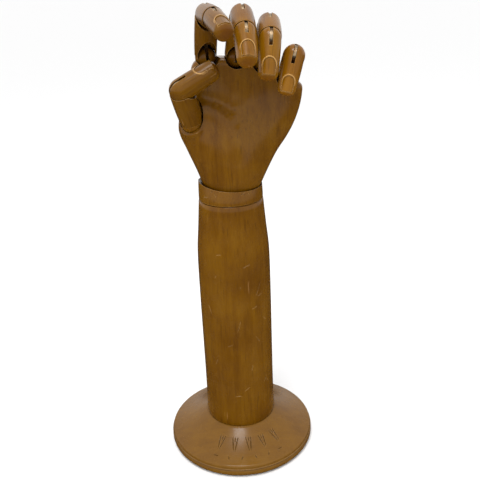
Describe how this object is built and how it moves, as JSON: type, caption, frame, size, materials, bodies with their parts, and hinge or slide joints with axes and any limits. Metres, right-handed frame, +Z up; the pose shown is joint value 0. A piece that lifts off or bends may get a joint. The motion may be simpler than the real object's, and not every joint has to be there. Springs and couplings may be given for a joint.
{
  "type": "jointed wooden display hand",
  "caption": "Life-size jointed wooden hand on a turned forearm and round base, with a ball-and-cup wrist and hinged fingers that hold a pose.",
  "frame": {"origin": "centre of the base's flat underside", "axes": "+Z up along the forearm, the palm faces -Y, the thumb is on the -X side"},
  "size_m": [0.14, 0.1486, 0.4103],
  "materials": {
    "varnished_wood": "amber varnish, satin gloss, worn",
    "steel": "dull steel"
  },
  "bodies": {
    "stand": {"base_disc": "varnished_wood", "forearm": "varnished_wood"},
    "collar": {"wrist_collar": "varnished_wood", "wrist_eyebolt": "steel", "wrist_washer": "steel", "wrist_nut": "steel"},
    "hand": {"palm": "varnished_wood", "wrist_pin": "steel", "index_knuckle_stud": "steel", "middle_knuckle_stud": "steel", "ring_knuckle_stud": "steel", "little_knuckle_stud": "steel", "thumb_knuckle_stud": "steel"},
    "index_ball": {"index_knuckle": "varnished_wood", "index_knuckle_pin": "steel"},
    "index_proximal_body": {"index_proximal": "varnished_wood", "index_knuckle_tongue": "steel", "index_pip_tongue": "steel"},
    "index_middle_body": {"index_middle": "varnished_wood", "index_pip_pin": "steel", "index_dip_tongue": "steel"},
    "index_distal_body": {"index_distal": "varnished_wood", "index_dip_pin": "steel"},
    "middle_ball": {"middle_knuckle": "varnished_wood", "middle_knuckle_pin": "steel"},
    "middle_proximal_body": {"middle_proximal": "varnished_wood", "middle_knuckle_tongue": "steel", "middle_pip_tongue": "steel"},
    "middle_middle_body": {"middle_middle": "varnished_wood", "middle_pip_pin": "steel", "middle_dip_tongue": "steel"},
    "middle_distal_body": {"middle_distal": "varnished_wood", "middle_dip_pin": "steel"},
    "ring_ball": {"ring_knuckle": "varnished_wood", "ring_knuckle_pin": "steel"},
    "ring_proximal_body": {"ring_proximal": "varnished_wood", "ring_knuckle_tongue": "steel", "ring_pip_tongue": "steel"},
    "ring_middle_body": {"ring_middle": "varnished_wood", "ring_pip_pin": "steel", "ring_dip_tongue": "steel"},
    "ring_distal_body": {"ring_distal": "varnished_wood", "ring_dip_pin": "steel"},
    "little_ball": {"little_knuckle": "varnished_wood", "little_knuckle_pin": "steel"},
    "little_proximal_body": {"little_proximal": "varnished_wood", "little_knuckle_tongue": "steel", "little_pip_tongue": "steel"},
    "little_middle_body": {"little_middle": "varnished_wood", "little_pip_pin": "steel", "little_dip_tongue": "steel"},
    "little_distal_body": {"little_distal": "varnished_wood", "little_dip_pin": "steel"},
    "thumb_ball": {"thumb_knuckle": "varnished_wood", "thumb_knuckle_pin": "steel"},
    "thumb_proximal_body": {"thumb_proximal": "varnished_wood", "thumb_knuckle_tongue": "steel", "thumb_ip_tongue": "steel"},
    "thumb_distal_body": {"thumb_distal": "varnished_wood", "thumb_ip_pin": "steel"}
  },
  "joints": [
    {"name": "wrist_swivel", "type": "hinge", "parent": "stand", "child": "collar", "pos_m": [0, 0, 0.25], "axis": [0, 0, 1], "continuous": true},
    {"name": "wrist_tilt", "type": "hinge", "parent": "collar", "child": "hand", "pos_m": [0, 0, 0.295], "axis": [1, 0, 0], "range_deg": [-14, 14]},
    {"name": "index_twist", "type": "hinge", "parent": "hand", "child": "index_ball", "pos_m": [-0.015, 0, 0.3686], "axis": [-0.0698, 0, 0.9976], "range_deg": [-12, 2]},
    {"name": "index_knuckle_flex", "type": "hinge", "parent": "index_ball", "child": "index_proximal_body", "pos_m": [-0.015, 0, 0.3686], "axis": [0.9699, 0.234, 0.0678], "range_deg": [-40, 6]},
    {"name": "index_pip", "type": "hinge", "parent": "index_proximal_body", "child": "index_middle_body", "pos_m": [-0.01209, -0.02175, 0.40205], "axis": [0.9699, 0.234, 0.0678], "range_deg": [-62, 26]},
    {"name": "index_dip", "type": "hinge", "parent": "index_middle_body", "child": "index_distal_body", "pos_m": [-0.00586, -0.04686, 0.39953], "axis": [0.9699, 0.234, 0.0678], "range_deg": [-9, 60]},
    {"name": "middle_twist", "type": "hinge", "parent": "hand", "child": "middle_ball", "pos_m": [0.0092, 0, 0.3676], "axis": [0.0872, 0, 0.9962], "range_deg": [-2, 1]},
    {"name": "middle_knuckle_flex", "type": "hinge", "parent": "middle_ball", "child": "middle_proximal_body", "pos_m": [0.0092, 0, 0.3676], "axis": [0.9924, 0.0875, -0.0868], "range_deg": [-46, 30]},
    {"name": "middle_pip", "type": "hinge", "parent": "middle_proximal_body", "child": "middle_middle_body", "pos_m": [0.01448, -0.02753, 0.4002], "axis": [0.9924, 0.0875, -0.0868], "range_deg": [-72, 16]},
    {"name": "middle_dip", "type": "hinge", "parent": "middle_middle_body", "child": "middle_distal_body", "pos_m": [0.01583, -0.0534, 0.38956], "axis": [0.9924, 0.0875, -0.0868], "range_deg": [-19, 50]},
    {"name": "ring_twist", "type": "hinge", "parent": "hand", "child": "ring_ball", "pos_m": [0.0313, 0, 0.3627], "axis": [0.1219, 0, 0.9925], "range_deg": [-2, 2]},
    {"name": "ring_knuckle_flex", "type": "hinge", "parent": "ring_ball", "child": "ring_proximal_body", "pos_m": [0.0313, 0, 0.3627], "axis": [0.9925, 0, -0.1219], "range_deg": [-46, 30]},
    {"name": "ring_pip", "type": "hinge", "parent": "ring_proximal_body", "child": "ring_middle_body", "pos_m": [0.03503, -0.02571, 0.39311], "axis": [0.9925, 0, -0.1219], "range_deg": [-69, 19]},
    {"name": "ring_dip", "type": "hinge", "parent": "ring_middle_body", "child": "ring_distal_body", "pos_m": [0.034, -0.05029, 0.38471], "axis": [0.9925, 0, -0.1219], "range_deg": [-46, 25]},
    {"name": "little_twist", "type": "hinge", "parent": "hand", "child": "little_ball", "pos_m": [0.0514, 0, 0.3499], "axis": [0.2419, 0, 0.9703], "range_deg": [-5, 8]},
    {"name": "little_knuckle_flex", "type": "hinge", "parent": "little_ball", "child": "little_proximal_body", "pos_m": [0.0514, 0, 0.3499], "axis": [0.9647, -0.1077, -0.2405], "range_deg": [-60, 18]},
    {"name": "little_pip", "type": "hinge", "parent": "little_proximal_body", "child": "little_middle_body", "pos_m": [0.05296, -0.02637, 0.36795], "axis": [0.9647, -0.1077, -0.2405], "range_deg": [-24, 45]},
    {"name": "little_dip", "type": "hinge", "parent": "little_middle_body", "child": "little_distal_body", "pos_m": [0.05168, -0.04694, 0.37203], "axis": [0.9647, -0.1077, -0.2405], "range_deg": [-85, 4]},
    {"name": "thumb_twist", "type": "hinge", "parent": "hand", "child": "thumb_ball", "pos_m": [-0.0285, -0.01, 0.3186], "axis": [-0.4087, -0.5486, 0.7294], "range_deg": [-20, 3]},
    {"name": "thumb_knuckle_flex", "type": "hinge", "parent": "thumb_ball", "child": "thumb_proximal_body", "pos_m": [-0.0285, -0.01, 0.3186], "axis": [-0.3273, 0.8341, 0.444], "range_deg": [-25, 3]},
    {"name": "thumb_ip", "type": "hinge", "parent": "thumb_proximal_body", "child": "thumb_distal_body", "pos_m": [-0.03485, -0.02784, 0.34744], "axis": [-0.3273, 0.8341, 0.444], "range_deg": [-79, 5]}
  ]
}
